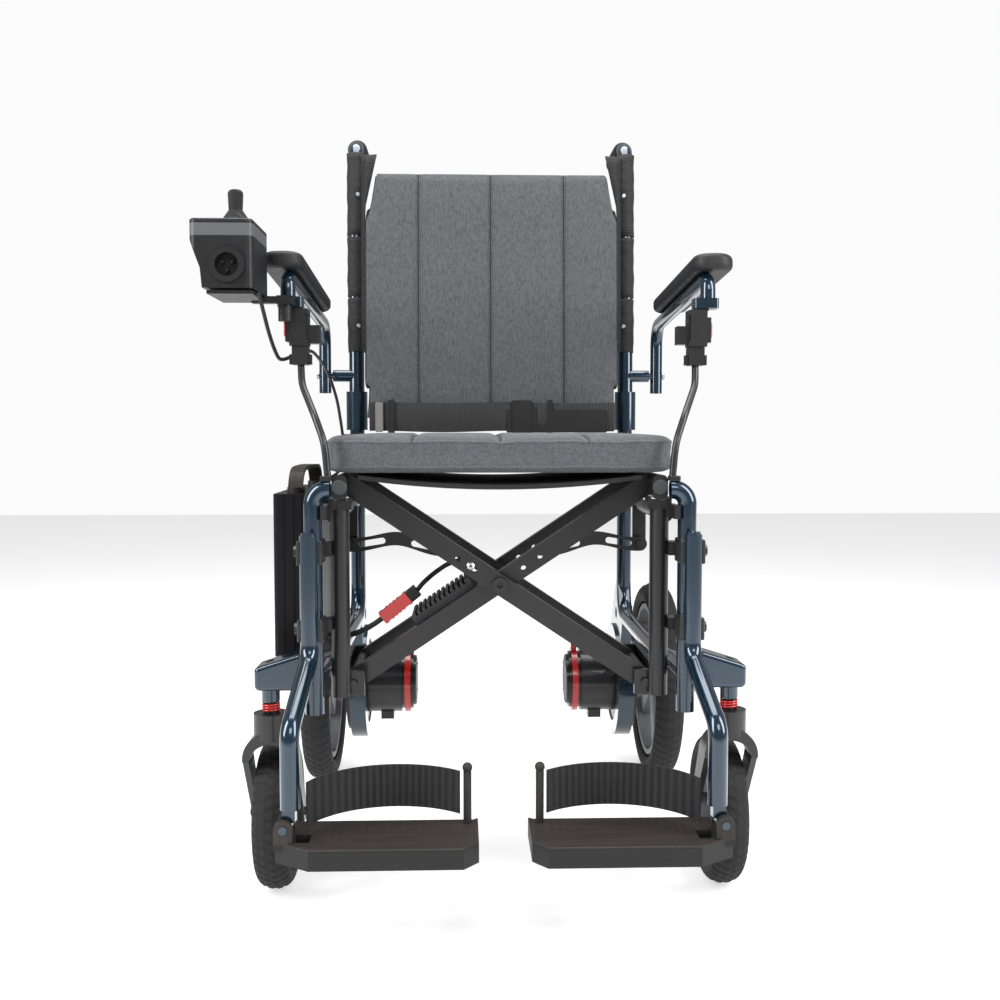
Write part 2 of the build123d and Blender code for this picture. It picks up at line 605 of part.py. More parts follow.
# ---------------------------------------------------------------- back canes and push grips
cane = tube([CANE_START, CANE_BEND, (CANE_X, HANDLE_END, HANDLE_Z)], [34.0], CANE_R)
hinge_stub = rod_x(9.0, CANE_X - 2, ARM_X - ARM_R - 3, ARM_HINGE_Y, ARM_HINGE_Z)
hinge_pin = rod_x(5.0, ARM_X - ARM_R - 3, ARM_X + ARM_R + 3, ARM_HINGE_Y, ARM_HINGE_Z)
save_pair(cane + hinge_stub + hinge_pin, "back_cane")
with BuildPart() as grip:
    with BuildSketch(Plane(origin=(CANE_X, HANDLE_END - 84, HANDLE_Z), z_dir=(0, 1, 0))):
        Circle(GRIP_R)
    extrude(amount=88)
    fillet(grip.edges(), 3.0)
    with BuildSketch(Plane(origin=(CANE_X, HANDLE_END - 85, HANDLE_Z), z_dir=(0, 1, 0))):
        Circle(CANE_R + 0.02)
    extrude(amount=85, mode=Mode.SUBTRACT)
save_pair(grip.part, "push_grip")

# ---------------------------------------------------------------- armrests
ARM_SLOPE = degrees(atan2(ARM_FRONT_Z - ARM_BACK_Z, ARM_HINGE_Y - ARM_FRONT_Y))
arm_path = [(ARM_X, ARM_HINGE_Y, ARM_HINGE_Z - 26), (ARM_X, ARM_HINGE_Y, ARM_BACK_Z),
            (ARM_X, ARM_FRONT_Y, ARM_FRONT_Z), (ARM_X, ARM_FRONT_Y - 1, LATCH_TOP + 12)]
arm_tube = tube(arm_path, [32.0, 14.0], ARM_R)
arm_tube -= rod_x(5 + RUN, ARM_X - 30, ARM_X + 30, ARM_HINGE_Y, ARM_HINGE_Z)
with BuildPart() as saddle:          # clip at the tube's front end, over the latch
    with Locations((ARM_X - 3, LATCH_Y - 2, LATCH_TOP + 8)):
        Box(30, 24, 12)
    fillet(saddle.edges().filter_by(Axis.Z), 4.0)
save_pair(arm_tube + saddle.part, "arm_tube")

PAD_MID_Y = -18.0
PAD_LEN = 320.0
pad_z = ARM_BACK_Z + (ARM_HINGE_Y - PAD_MID_Y) * tan(radians(ARM_SLOPE)) + 8.5
with BuildPart() as pad:
    with BuildSketch(Plane(origin=(260, PAD_MID_Y, pad_z), z_dir=(0, sin(radians(ARM_SLOPE)),
                           cos(radians(ARM_SLOPE))), x_dir=(1, 0, 0))):
        RectangleRounded(50, PAD_LEN, 22)
    extrude(amount=21)
    fillet(pad.faces().sort_by(Axis.Z)[-1].edges(), 8.0)
pad_body = pad.part - tube(arm_path, [32.0, 14.0], ARM_R + 0.05, wall=0)
save_pair(pad_body, "arm_pad")

with BuildPart() as latch:
    with Locations((LATCH_X + 1, LATCH_Y, (LATCH_LOW + LATCH_TOP) / 2)):
        Box(22, 26, LATCH_TOP - LATCH_LOW)
    with Locations((LATCH_X + 6, LATCH_Y, LATCH_TOP + 0.5)):
        Box(16, 20, 3)
    with Locations((LATCH_X + 13, LATCH_Y, LATCH_LOW + 20)):
        Box(8, 22, 30)
    with Locations((LATCH_X - 16, LATCH_Y + 4, LATCH_LOW + 14)):
        Box(14, 18, 22)
    with Locations((LATCH_X + 15, LATCH_Y, LATCH_LOW + 20)):
        Box(8, 12.6, 18.6, mode=Mode.SUBTRACT)
    with Locations((LATCH_X - 11, LATCH_Y - 12, LATCH_LOW + 22)):
        Box(5.6, 8, 30.6, mode=Mode.SUBTRACT)
save_pair(latch.part, "arm_latch")
red_button = block(LATCH_X + 13.4, LATCH_X + 19.5, LATCH_Y - 6, LATCH_Y + 6, LATCH_LOW + 11, LATCH_LOW + 29, 1.5)
save_pair(red_button, "latch_button")

ROD_R = 4.2
arm_rod = tube([(200, POST_Y, POST_TOP + TUBE_R - 2), (204, POST_Y + 1, 532), (216, POST_Y + 14, 562),
                (236, LATCH_Y - 16, 602), (LATCH_X, LATCH_Y, 632)], [60.0, 60.0, 60.0], ROD_R, wall=0)
with BuildPart() as receiver:
    with Locations((LATCH_X, LATCH_Y, 636.5)):
        Box(19, 20, 22)
    with Locations((LATCH_X - 10, LATCH_Y, 632)):
        Box(6, 12, 12)
    with Locations((LATCH_X + 10, LATCH_Y, 632)):
        Box(6, 12, 12)
rod_foot = block(196, 209, POST_Y - 7, POST_Y + 7, POST_TOP + TUBE_R - 1, POST_TOP + TUBE_R + 5, 1.0)
post_again = rod_x(TUBE_R + 0.05, 190, 206, POST_Y, POST_TOP)
bend_again = tube([(POST_X, POST_Y, POST_LOW), (POST_X, POST_Y, POST_TOP), (POST_X - 20, POST_Y, POST_TOP)],
                  [17.0], TUBE_R + 0.05, wall=0)
save_pair(arm_rod + receiver.part + rod_foot - post_again - bend_again, "arm_post")

# ---------------------------------------------------------------- controller on the left armrest
with BuildPart() as case:
    with BuildSketch(Plane.XZ.offset(-BOX_FRONT)):
        with BuildLine():
            Polyline((BOX_X - 39, BOX_TOP - 22), (BOX_X - 39, BOX_TOP), (BOX_X + 31, BOX_TOP),
                     (BOX_X + 31, BOX_LOW), (BOX_X - 25, BOX_LOW), (BOX_X - 27, BOX_LOW + 22), close=True)
        make_face()
    extrude(amount=BOX_FRONT - BOX_BACK)
    fillet(case.edges().filter_by(Axis.Z), 8.0)
    fillet(case.faces().sort_by(Axis.Z)[-1].edges(), 3.0)
    with BuildSketch(Plane(origin=(BOX_X + 3, BOX_FRONT + 2, BOX_LOW + 25), z_dir=(0, -1, 0))):
        Circle(20)
    extrude(amount=7, taper=8)
    with BuildSketch(Plane(origin=(BOX_X + 3, BOX_FRONT - 6, BOX_LOW + 25), z_dir=(0, 1, 0))):
        Circle(13)
    extrude(amount=14, mode=Mode.SUBTRACT)
    with BuildSketch(Plane(origin=(BOX_X + 3, BOX_FRONT + 8, BOX_LOW + 25), z_dir=(0, -1, 0))):
        with PolarLocations(6, 3):
            Circle(1.6)
    extrude(amount=9)
    with Locations((BOX_X, STICK_Y, BOX_TOP)):
        Cylinder(17, 36, mode=Mode.SUBTRACT)
    with Locations((BOX_X, BOX_FRONT + 24, BOX_TOP)):
        Cylinder(6.2, 8, mode=Mode.SUBTRACT)
with BuildPart() as case_bracket:    # plate under the case and the bar that carries it from the arm tube
    with Locations((BOX_X + 4, (BOX_FRONT + BOX_BACK) / 2, BOX_LOW - 4)):
        Box(50, 90, 4)
    with Locations((BOX_X - 10, BOX_FRONT + 20, BOX_LOW - 1), (BOX_X + 20, BOX_FRONT + 20, BOX_LOW - 1)):
        Box(8, 12, 2)
    with Locations(((BOX_X - ARM_X) / 2 + 8, LATCH_Y - 34, BOX_LOW - 4)):
        Box(abs(BOX_X) - ARM_X - 14, 14, 8)
    with Locations((-ARM_X + 1, LATCH_Y - 26, BOX_LOW - 4)):
        Box(18, 30, 10)
knob = rod_z(8, -ARM_X, LATCH_Y - 28, BOX_LOW - 28, BOX_LOW - 8)
arm_spare = mirror(saddle.part, about=Plane.YZ)
save(case.part + case_bracket.part + knob - arm_spare, "controller_case")

with BuildPart() as stick:
    with Locations((BOX_X, STICK_Y, BOX_TOP - 3)):
        Sphere(9)
    with BuildSketch(Plane.XY.offset(BOX_TOP - 4)):
        with Locations((BOX_X, STICK_Y)):
            Circle(4)
    extrude(amount=30)
    with BuildSketch(Plane.XY.offset(BOX_TOP + 10)) as neck:
        with Locations((BOX_X, STICK_Y)):
            Circle(7.5)
    with BuildSketch(Plane.XY.offset(BOX_TOP + 44)) as crown:
        with Locations((BOX_X, STICK_Y)):
            Circle(9)
    loft()
    fillet(stick.faces().sort_by(Axis.Z)[-1].edges(), 5.0)
    with Locations((BOX_X, STICK_Y, BOX_TOP + 15.5)):
        Cone(16, 7, 13)              # rubber skirt
save(stick.part, "joystick")
with BuildPart() as gimbal:          # ring the stick tilts in
    with Locations((BOX_X, STICK_Y, BOX_TOP - 5)):
        Cylinder(15.5, 9)
    with Locations((BOX_X, STICK_Y, BOX_TOP - 3)):
        Sphere(9.3, mode=Mode.SUBTRACT)
    with Locations((BOX_X, STICK_Y, BOX_TOP + 4)):
        Cylinder(9.3, 14, mode=Mode.SUBTRACT)
save(gimbal.part, "joystick_gimbal")
with BuildPart() as button:
    with Locations((BOX_X, BOX_FRONT + 24, BOX_TOP - 0.5)):
        Cylinder(5.8, 5)
    fillet(button.faces().sort_by(Axis.Z)[-1].edges(), 1.0)
save(button.part, "power_button")

# ---------------------------------------------------------------- seat, sling, back, belt
with BuildPart() as cushion:
    with Locations((0, (SEAT_FRONT + SEAT_BACK) / 2, (SEAT_LOW + SEAT_TOP) / 2)):
        Box(2 * SEAT_HALF, SEAT_BACK - SEAT_FRONT, SEAT_TOP - SEAT_LOW)
    fillet(cushion.edges().filter_by(Axis.Z), 34.0)
    fillet(cushion.faces().sort_by(Axis.Z)[-1].edges(), 9.0)
save(cushion.part, "seat_cushion")

SLING_SAG = 20.0
SLING_HALF = SEAT_RAIL_X - 21
with BuildPart() as sling:
    with BuildSketch(Plane.XZ.offset(-SEAT_FRONT - 12)):
        with BuildLine():
            under = ThreePointArc((-SLING_HALF, SEAT_LOW - 8), (0, SEAT_LOW - SLING_SAG), (SLING_HALF, SEAT_LOW - 8))
            over = ThreePointArc((-SLING_HALF, SEAT_LOW - 3), (0, SEAT_LOW - SLING_SAG + 5),
                                 (SLING_HALF, SEAT_LOW - 3))
            Line(under @ 0, over @ 0)
            Line(under @ 1, over @ 1)
        make_face()
    extrude(amount=SEAT_FRONT - SEAT_BACK + 30)
save(sling.part, "seat_sling")

BACK_TILT = degrees(atan2(CANE_BEND[1] - CANE_START[1], CANE_BEND[2] - CANE_START[2]))
back_y = CANE_START[1] + (BACK_LOW - CANE_START[2]) * tan(radians(BACK_TILT)) - 13
with BuildPart() as back:
    with BuildSketch(Plane(origin=(0, back_y, BACK_LOW), z_dir=(0, -cos(radians(BACK_TILT)),
                           sin(radians(BACK_TILT))), x_dir=(1, 0, 0))):
        with BuildLine():
            Polyline((-BACK_NARROW, 0), (BACK_NARROW, 0), (BACK_NARROW, 50), (BACK_HALF, 54), (BACK_HALF, 300),
                     (BACK_HALF - 7, 320), (BACK_HALF - 19, BACK_TOP - BACK_LOW),
                     (19 - BACK_HALF, BACK_TOP - BACK_LOW), (7 - BACK_HALF, 320), (-BACK_HALF, 300),
                     (-BACK_HALF, 54), (-BACK_NARROW, 50), close=True)
        make_face()
    extrude(amount=BACK_T)
save(back.part, "back_upholstery")

BELT_Y = SEAT_BACK - 20
with BuildPart() as belt:
    with BuildSketch(Plane.XY.offset(SEAT_TOP + 3)):
        with BuildLine():
            front_edge = ThreePointArc((-184, BELT_Y + 5), (0, BELT_Y), (184, BELT_Y + 5))
            back_edge = ThreePointArc((-184, BELT_Y + 8), (0, BELT_Y + 3), (184, BELT_Y + 8))
            Line(front_edge @ 0, back_edge @ 0)
            Line(front_edge @ 1, back_edge @ 1)
        make_face()
    extrude(amount=46)
save(belt.part, "lap_belt")

# ---------------------------------------------------------------- battery
BAT_X = -(BATTERY_IN + BATTERY_OUT) / 2
with BuildPart() as battery:
    with BuildSketch(Plane.XY.offset(BATTERY_LOW)):
        with Locations((BAT_X, (BATTERY_FRONT + BATTERY_BACK) / 2)):
            RectangleRounded(BATTERY_OUT - BATTERY_IN, BATTERY_BACK - BATTERY_FRONT, 5)
        with GridLocations(BATTERY_OUT - BATTERY_IN, 26, 1, 8):
            with Locations((BAT_X - (BATTERY_OUT - BATTERY_IN) / 2, (BATTERY_FRONT + BATTERY_BACK) / 2)):
                Rectangle(3, 8, mode=Mode.SUBTRACT)
        with Locations((BAT_X - 9, BATTERY_FRONT), (BAT_X + 3, BATTERY_FRONT), (BAT_X + 13, BATTERY_FRONT)):
            Rectangle(4, 3, mode=Mode.SUBTRACT)
    extrude(amount=BATTERY_TOP - BATTERY_LOW)
save(battery.part, "battery")
with BuildPart() as handle:          # leather carrying loop on two brass feet
    for end in (-1, 1):
        with Locations((BAT_X, (BATTERY_FRONT + BATTERY_BACK) / 2 + end * 96, BATTERY_TOP + 3.5)):
            Cylinder(11, 7)
    with BuildSketch(Plane(origin=(BAT_X - 9, (BATTERY_FRONT + BATTERY_BACK) / 2, BATTERY_TOP + 5),
                           z_dir=(1, 0, 0), x_dir=(0, 1, 0))):
        with BuildLine():
            high_edge = Spline((-104, 0), (-88, 20), (-50, 27), (50, 27), (88, 20), (104, 0))
            low_edge = Spline((-97, 0), (-84, 16), (-49, 23), (49, 23), (84, 16), (97, 0))
            Line(high_edge @ 0, low_edge @ 0)
            Line(high_edge @ 1, low_edge @ 1)
        make_face()
    extrude(amount=18)
save(handle.part, "battery_handle")


# ---------------------------------------------------------------- held cables
def cable(points, diameter, name):
    """A round cable on straight runs joined by tangent arcs; prints its arc radii and a volume check."""
    spots = [Vector(*p) for p in points]
    radii = []
    for before, here, after in zip(spots, spots[1:], spots[2:]):
        turn = radians((here - before).get_angle(after - here))
        radii.append(0.45 * min((here - before).length, (after - here).length) / tan(turn / 2))
    with BuildPart() as made:
        with BuildLine() as path:
            FilletPolyline(*points, radius=radii)
        with BuildSketch(Plane(origin=path.line @ 0, z_dir=path.line % 0)):
            Circle(diameter / 2)
        sweep()
    length = sum(edge.length for edge in path.edges())
    expected = pi * diameter ** 2 / 4 * length
    print(name, "radii", [round(r, 1) for r in radii], "length", round(length),
          "volume ratio", round(made.part.volume / expected, 3))
    return made.part


JOYSTICK_CABLE = [(-271, -262, 699), (-269, -248, 682), (-267, -226, 660), (-265, -200, 642),
                  (-263, -176, 631), (-260, -140, 634), (-254, -90, 645), (-251, -35, 652), (-249, 20, 655),
                  (-248, 75, 650), (-245, 125, 640), (-240, 160, 622), (-232, 172, 592), (-227, 176, 556)]
save(cable(JOYSTICK_CABLE, 4.5, "joystick_cable"), "joystick_cable")
BATTERY_LEAD = [(-216, -95, 285), (-196, -100, 284), (-176, -104, 290), (-158, -105, 300), (-146, -106, 309)]
BRACE_LEAD = [(-104, -104, 342), (-96, -102, 352), (-82, -96, 364), (-64, -92, 376), (-46, -90, 381)]
with BuildPart() as plug:            # red battery connector with its black shell
    tilt_plane = Plane(origin=(-147, -105, 308), z_dir=(42, 1, 34), x_dir=(0, 1, 0))
    with BuildSketch(tilt_plane):
        RectangleRounded(15, 14, 2)
    extrude(amount=44)
    with BuildSketch(tilt_plane.offset(44)):
        RectangleRounded(17, 16, 2)
    extrude(amount=13)
leads = cable(BATTERY_LEAD, 7.0, "battery_lead") + cable(BRACE_LEAD, 6.0, "brace_lead")
save(plug.part + leads, "battery_connector")
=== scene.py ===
import bpy
import bmesh
import math
from mathutils import Matrix, Vector
from mathutils.bvhtree import BVHTree


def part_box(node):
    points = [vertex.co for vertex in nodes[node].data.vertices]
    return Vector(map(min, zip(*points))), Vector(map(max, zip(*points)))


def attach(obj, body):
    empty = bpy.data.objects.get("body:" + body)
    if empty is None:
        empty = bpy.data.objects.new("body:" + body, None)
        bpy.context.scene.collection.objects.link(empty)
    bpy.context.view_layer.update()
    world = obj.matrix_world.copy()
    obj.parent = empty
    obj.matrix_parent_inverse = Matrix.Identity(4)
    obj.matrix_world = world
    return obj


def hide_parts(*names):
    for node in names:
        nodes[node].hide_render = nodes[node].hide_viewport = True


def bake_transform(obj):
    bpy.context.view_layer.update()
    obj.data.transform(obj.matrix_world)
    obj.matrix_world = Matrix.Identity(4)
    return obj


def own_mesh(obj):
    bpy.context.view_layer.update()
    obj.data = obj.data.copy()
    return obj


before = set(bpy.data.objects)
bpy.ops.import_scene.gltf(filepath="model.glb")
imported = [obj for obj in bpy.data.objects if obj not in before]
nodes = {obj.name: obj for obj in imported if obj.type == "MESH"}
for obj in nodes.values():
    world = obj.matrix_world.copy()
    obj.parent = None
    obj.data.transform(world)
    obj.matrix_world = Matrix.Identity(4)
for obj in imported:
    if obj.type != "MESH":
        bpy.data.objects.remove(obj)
MID = 0.024                     # the frame's centre line stands this far to +X of the row's origin
SIDES = (("right", 1), ("left", -1))


def P(x, y, z):
    """A point given in millimetres about the frame's centre line."""
    return Vector((x / 1000 + MID, y / 1000, z / 1000))


# ---------------------------------------------------------------- materials
def new_material(name, color, rough=0.45, metal=0.0, coat=0.0, sheen=0.0):
    m = bpy.data.materials.new(name)
    m.use_nodes = True
    b = m.node_tree.nodes["Principled BSDF"]
    b.inputs["Base Color"].default_value = (*color, 1)
    b.inputs["Roughness"].default_value = rough
    b.inputs["Metallic"].default_value = metal
    b.inputs["Specular IOR Level"].default_value = 0.5 if metal or coat else 0.32
    b.inputs["Coat Weight"].default_value = coat
    b.inputs["Coat Roughness"].default_value = 0.06
    b.inputs["Sheen Weight"].default_value = sheen
    b.inputs["Sheen Roughness"].default_value = 0.5
    return m


class Net:
    """Small helper for adding nodes to a material."""

    def __init__(self, m):
        self.tree = m.node_tree
        self.shader = self.tree.nodes["Principled BSDF"]
        self.coord = self.tree.nodes.new("ShaderNodeTexCoord").outputs["Object"]
        self.height = None

    def add(self, kind, **values):
        n = self.tree.nodes.new(kind)
        for key, value in values.items():
            if hasattr(n, key):
                setattr(n, key, value)
            else:
                n.inputs[key.replace("_", " ")].default_value = value
        return n

    def link(self, a, b):
        self.tree.links.new(a, b)

    def math(self, op, a, b=0.0):
        n = self.tree.nodes.new("ShaderNodeMath")
        n.operation = op
        for i, v in enumerate((a, b)):
            if isinstance(v, (int, float)):
                n.inputs[i].default_value = v
            else:
                self.link(v, n.inputs[i])
        return n.outputs[0]

    def noise(self, scale, detail=3.0, stretch=(1, 1, 1)):
        mapping = self.add("ShaderNodeMapping")
        mapping.inputs["Scale"].default_value = stretch
        self.link(self.coord, mapping.inputs["Vector"])
        n = self.add("ShaderNodeTexNoise", Scale=scale, Detail=detail)
        self.link(mapping.outputs[0], n.inputs["Vector"])
        return n.outputs[0]

    def axis(self, name):
        n = self.add("ShaderNodeSeparateXYZ")
        self.link(self.coord, n.inputs[0])
        return n.outputs[name]

    def wave(self, coordinate, pitch, phase=0.0):
        """0 to 1 to 0 over each pitch (m) along a coordinate."""
        turn = self.math("ADD", self.math("MULTIPLY", coordinate, 2 * math.pi / pitch), phase)
        return self.math("MULTIPLY", self.math("ADD", self.math("SINE", turn), 1.0), 0.5)

    def between(self, value, low, high):
        """1 where low < value < high, else 0."""
        above = self.math("GREATER_THAN", value, low)
        below = self.math("LESS_THAN", value, high)
        return self.math("MULTIPLY", above, below)

    def blend(self, factor, a, b):
        n = self.add("ShaderNodeMix", data_type="RGBA")
        self.link(factor, n.inputs[0])
        for slot, v in ((6, a), (7, b)):
            if isinstance(v, tuple):
                n.inputs[slot].default_value = (*v, 1)
            else:
                self.link(v, n.inputs[slot])
        return n.outputs[2]

    def color(self, out):
        self.link(out, self.shader.inputs["Base Color"])

    def rough(self, out, low, high):
        span = self.add("ShaderNodeMapRange", To_Min=low, To_Max=high)
        self.link(out, span.inputs[0])
        self.link(span.outputs[0], self.shader.inputs["Roughness"])

    def bump(self, out, depth, strength=1.0):
        n = self.add("ShaderNodeBump", Strength=strength, Distance=depth)
        self.link(out, n.inputs["Height"])
        self.link(n.outputs[0], self.shader.inputs["Normal"])


def painted(name, color, rough, metal, coat, flake=0.0):
    m = new_material(name, color, rough, metal, coat)
    t = Net(m)
    dark = tuple(c * 0.72 for c in color)
    t.color(t.blend(t.noise(9.0, 4.0), dark, tuple(c * 1.22 for c in color)))
    t.rough(t.noise(34.0, 5.0), max(rough - 0.06, 0.03), rough + 0.10)
    t.bump(t.noise(900.0 if flake else 260.0, 2.0), 0.00025, 0.16)
    return m


def plastic(name, color, rough, grain=700.0, depth=0.0004, strength=0.35):
    m = new_material(name, color, rough)
    t = Net(m)
    dark = tuple(c * 0.8 for c in color)
    t.color(t.blend(t.noise(14.0, 4.0), dark, tuple(min(c * 1.25, 1) for c in color)))
    t.rough(t.noise(60.0, 4.0), rough - 0.08, rough + 0.1)
    t.bump(t.noise(grain, 2.0), depth, strength)
    return m


def brushed(name, color, rough, stretch=(1, 1, 40)):
    m = new_material(name, color, rough, 1.0)
    t = Net(m)
    streak = t.noise(120.0, 4.0, stretch)
    t.color(t.blend(t.noise(20.0), tuple(c * 0.8 for c in color), color))
    t.rough(streak, rough - 0.08, rough + 0.14)
    t.bump(streak, 0.0002, 0.15)
    return m


def heather(name, light, dark, seams, pitch=0.0022, across="X", along="Z"):
    """Woven cloth of mixed light and dark yarn, with a thin line of painted shade along each stitched channel."""
    m = new_material(name, light, 0.92, sheen=0.12)
    t = Net(m)
    warp = t.wave(t.axis(across), pitch)
    weft = t.wave(t.axis(along), pitch)
    cells = t.math("ABSOLUTE", t.math("SUBTRACT", warp, weft))
    stretch = (1, 1, 0.22) if along == "Z" else (1, 0.22, 1)
    fleck = t.math("POWER", t.noise(560.0, 2.0, stretch), 1.5)
    slub = t.noise(420.0, 3.0, (0.3, 1, 1))
    mixed = t.math("MULTIPLY", t.math("ADD", fleck, t.math("MULTIPLY", slub, 0.5)), 1.35)
    shade = None
    for c in seams:
        off = t.math("ABSOLUTE", t.math("SUBTRACT", t.axis("X"), MID + c / 1000))
        line = t.math("LESS_THAN", off, 0.0011)
        shade = line if shade is None else t.math("MAXIMUM", shade, line)
    if along == "Y":
        shade = t.math("MULTIPLY", shade, t.math("GREATER_THAN", t.axis("Z"), 0.533))
    # painted shade: the channel creases are coloured darker than the darkest yarn
    channel_shade_colour = tuple(c * 0.5 for c in dark)
    t.color(t.blend(t.math("MULTIPLY", shade, 0.85), t.blend(mixed, dark, light), channel_shade_colour))
    t.bump(t.math("ADD", cells, fleck), 0.0006, 0.55)
    return m


def webbing(name, color, along, pitch, depth=0.0006, rough=0.6):
    """Ribbed strap: ribs that repeat along one axis, with a fine cross thread; painted highlight on the rib crests
    and painted shade in the grooves.
    """
    m = new_material(name, color, rough, sheen=0.04)
    t = Net(m)
    ribs = t.wave(t.axis(along), pitch)
    cross = t.wave(t.axis("Z"), 0.0013)
    # painted highlight and shade: colour runs from dark in each rib groove to light on each crest
    t.color(t.blend(ribs, tuple(c * 0.45 for c in color), tuple(c * 1.7 for c in color)))
    t.bump(t.math("ADD", ribs, t.math("MULTIPLY", cross, 0.35)), depth, 0.8)
    return m


CHANNELS = (-104.0, 0.0, 104.0)
BACK_CHANNELS = (-110.0, -2.0, 108.0)
BLUE = painted("blue_paint", (0.0035, 0.022, 0.043), 0.2, 0.55, 1.0, flake=1.0)
BLACK = painted("black_powder", (0.012, 0.012, 0.013), 0.36, 0.25, 0.25)
MOTOR = painted("motor_black", (0.013, 0.013, 0.015), 0.32, 0.4, 0.3)
RED = painted("red_paint", (0.42, 0.006, 0.005), 0.3, 0.0, 0.6)
RED_LEVER = painted("red_lever", (0.5, 0.010, 0.006), 0.28, 0.0, 0.7)
ZINC = brushed("zinc", (0.62, 0.63, 0.65), 0.3)
CHROME = brushed("chrome", (0.75, 0.76, 0.78), 0.12)
PLASTIC = plastic("black_plastic", (0.014, 0.014, 0.015), 0.42)
PAD = plastic("pad_skin", (0.013, 0.013, 0.014), 0.5, 420.0, 0.0007, 0.5)
RIM = plastic("rim_grey", (0.10, 0.105, 0.115), 0.4)
GREY_CAP = plastic("grey_cap", (0.055, 0.058, 0.062), 0.45)
TYRE = plastic("tyre_rubber", (0.013, 0.013, 0.0135), 0.74, 520.0, 0.0006, 0.5)
CABLE = plastic("cable_skin", (0.010, 0.010, 0.011), 0.42, 300.0, 0.0002, 0.2)
ALUMINIUM = brushed("battery_black", (0.022, 0.022, 0.024), 0.36, (1, 1, 0.02))
CAST = plastic("cast_fins", (0.05, 0.05, 0.053), 0.46)
DARK_YARN = (0.013, 0.014, 0.016)
CLOTH = heather("grey_cloth", (0.088, 0.093, 0.100), DARK_YARN, BACK_CHANNELS)
SEAT_CLOTH = heather("seat_cloth", (0.088, 0.094, 0.102), DARK_YARN, CHANNELS, along="Y")
BINDING = webbing("black_binding", (0.012, 0.012, 0.013), "Z", 0.0024)
STRAP = webbing("heel_webbing", (0.013, 0.013, 0.014), "X", 0.0075, 0.0012)
BELT = webbing("belt_webbing", (0.014, 0.014, 0.015), "X", 0.0022, 0.0005, 0.48)
LEATHER = plastic("black_leather", (0.016, 0.014, 0.013), 0.46, 380.0, 0.0008, 0.7)
THREAD = plastic("dark_thread", (0.035, 0.038, 0.043), 0.7)
PALE_THREAD = plastic("pale_thread", (0.16, 0.155, 0.145), 0.7)

CASE = plastic("case_plastic", (0.018, 0.018, 0.02), 0.4, 600.0)
case_net = Net(CASE)
band = case_net.between(case_net.axis("Z"), 0.760, 0.7735)
case_net.color(case_net.blend(band, (0.010, 0.010, 0.011), (0.085, 0.088, 0.093)))

GRIP = plastic("grip_rubber", (0.012, 0.012, 0.013), 0.62)
grip_net = Net(GRIP)
grip_net.bump(grip_net.wave(grip_net.axis("Y"), 0.005), 0.0012, 0.9)

PLATE = plastic("plate_plastic", (0.016, 0.015, 0.015), 0.5, 500.0, 0.0004)
plate_net = Net(PLATE)
plate_ribs = plate_net.wave(plate_net.axis("X"), 0.009)
plate_top = plate_net.math("GREATER_THAN", plate_net.axis("Z"), 0.1128)
wood = plate_net.noise(30.0, 6.0, (0.25, 6, 1))
plate_grain = plate_net.math("MULTIPLY", plate_top, wood)
plate_net.color(plate_net.blend(plate_grain, (0.009, 0.0088, 0.009), (0.040, 0.030, 0.026)))
plate_net.bump(plate_net.math("ADD", plate_net.math("MULTIPLY", plate_top, plate_ribs),
                              plate_net.noise(500.0)), 0.0008, 0.5)

for name, material in {
        "side_frame": BLUE, "inner_post": BLACK, "hanger": BLUE, "footplate": PLATE, "heel_strap": STRAP,
        "caster_fork": BLACK, "caster_stem": BLACK, "caster_spring": RED,
        "caster_tyre": TYRE, "caster_rim": RIM,
        "drive_tyre": TYRE, "drive_rim": RIM, "motor": MOTOR, "release_lever": RED, "link": BLACK,
        "back_cane": BLUE, "push_grip": GRIP, "arm_tube": BLUE, "arm_pad": PAD, "arm_latch": BLACK,
        "latch_button": RED_LEVER, "arm_post": BLACK}.items():
    for side, _ in SIDES:
        nodes[side + "_" + name].data.materials.clear()
        nodes[side + "_" + name].data.materials.append(material)
for name, material in {
        "lead_brace": BLACK, "trail_brace": BLACK, "brace_bolt": BLACK, "power_controller": CAST,
        "controller_case": CASE, "joystick": GRIP, "joystick_gimbal": PLASTIC, "power_button": ZINC,
        "seat_cushion": SEAT_CLOTH, "seat_sling": BINDING, "back_upholstery": CLOTH, "lap_belt": BELT,
        "battery": ALUMINIUM, "battery_handle": LEATHER, "joystick_cable": CABLE,
        "battery_connector": CABLE}.items():
    nodes[name].data.materials.clear()
    nodes[name].data.materials.append(material)


# ---------------------------------------------------------------- shape helpers
def mesh_object(name, bm, material, smooth=True):
    mesh = bpy.data.meshes.new(name)
    bm.to_mesh(mesh)
    bm.free()
    if smooth:
        for p in mesh.polygons:
            p.use_smooth = True
    mesh.materials.append(material)
    obj = bpy.data.objects.new(name, mesh)
    bpy.context.scene.collection.objects.link(obj)
    return obj


def facing(axis):
    return Vector(axis).normalized().to_track_quat("Z", "Y").to_matrix().to_4x4()


def add_cylinder(bm, at, axis, radius, height, segments=24, top=None):
    """A cylinder standing on a point, along an axis; sizes in millimetres."""
    place = Matrix.Translation(at) @ facing(axis) @ Matrix.Translation((0, 0, height / 2000))
    bmesh.ops.create_cone(bm, cap_ends=True, segments=segments, radius1=radius / 1000,
                          radius2=(radius if top is None else top) / 1000, depth=height / 1000, matrix=place)


def add_box(bm, at, size):
    place = Matrix.Translation(at) @ Matrix.Diagonal((*(s / 1000 for s in size), 1))
    bmesh.ops.create_cube(bm, size=1, matrix=place)


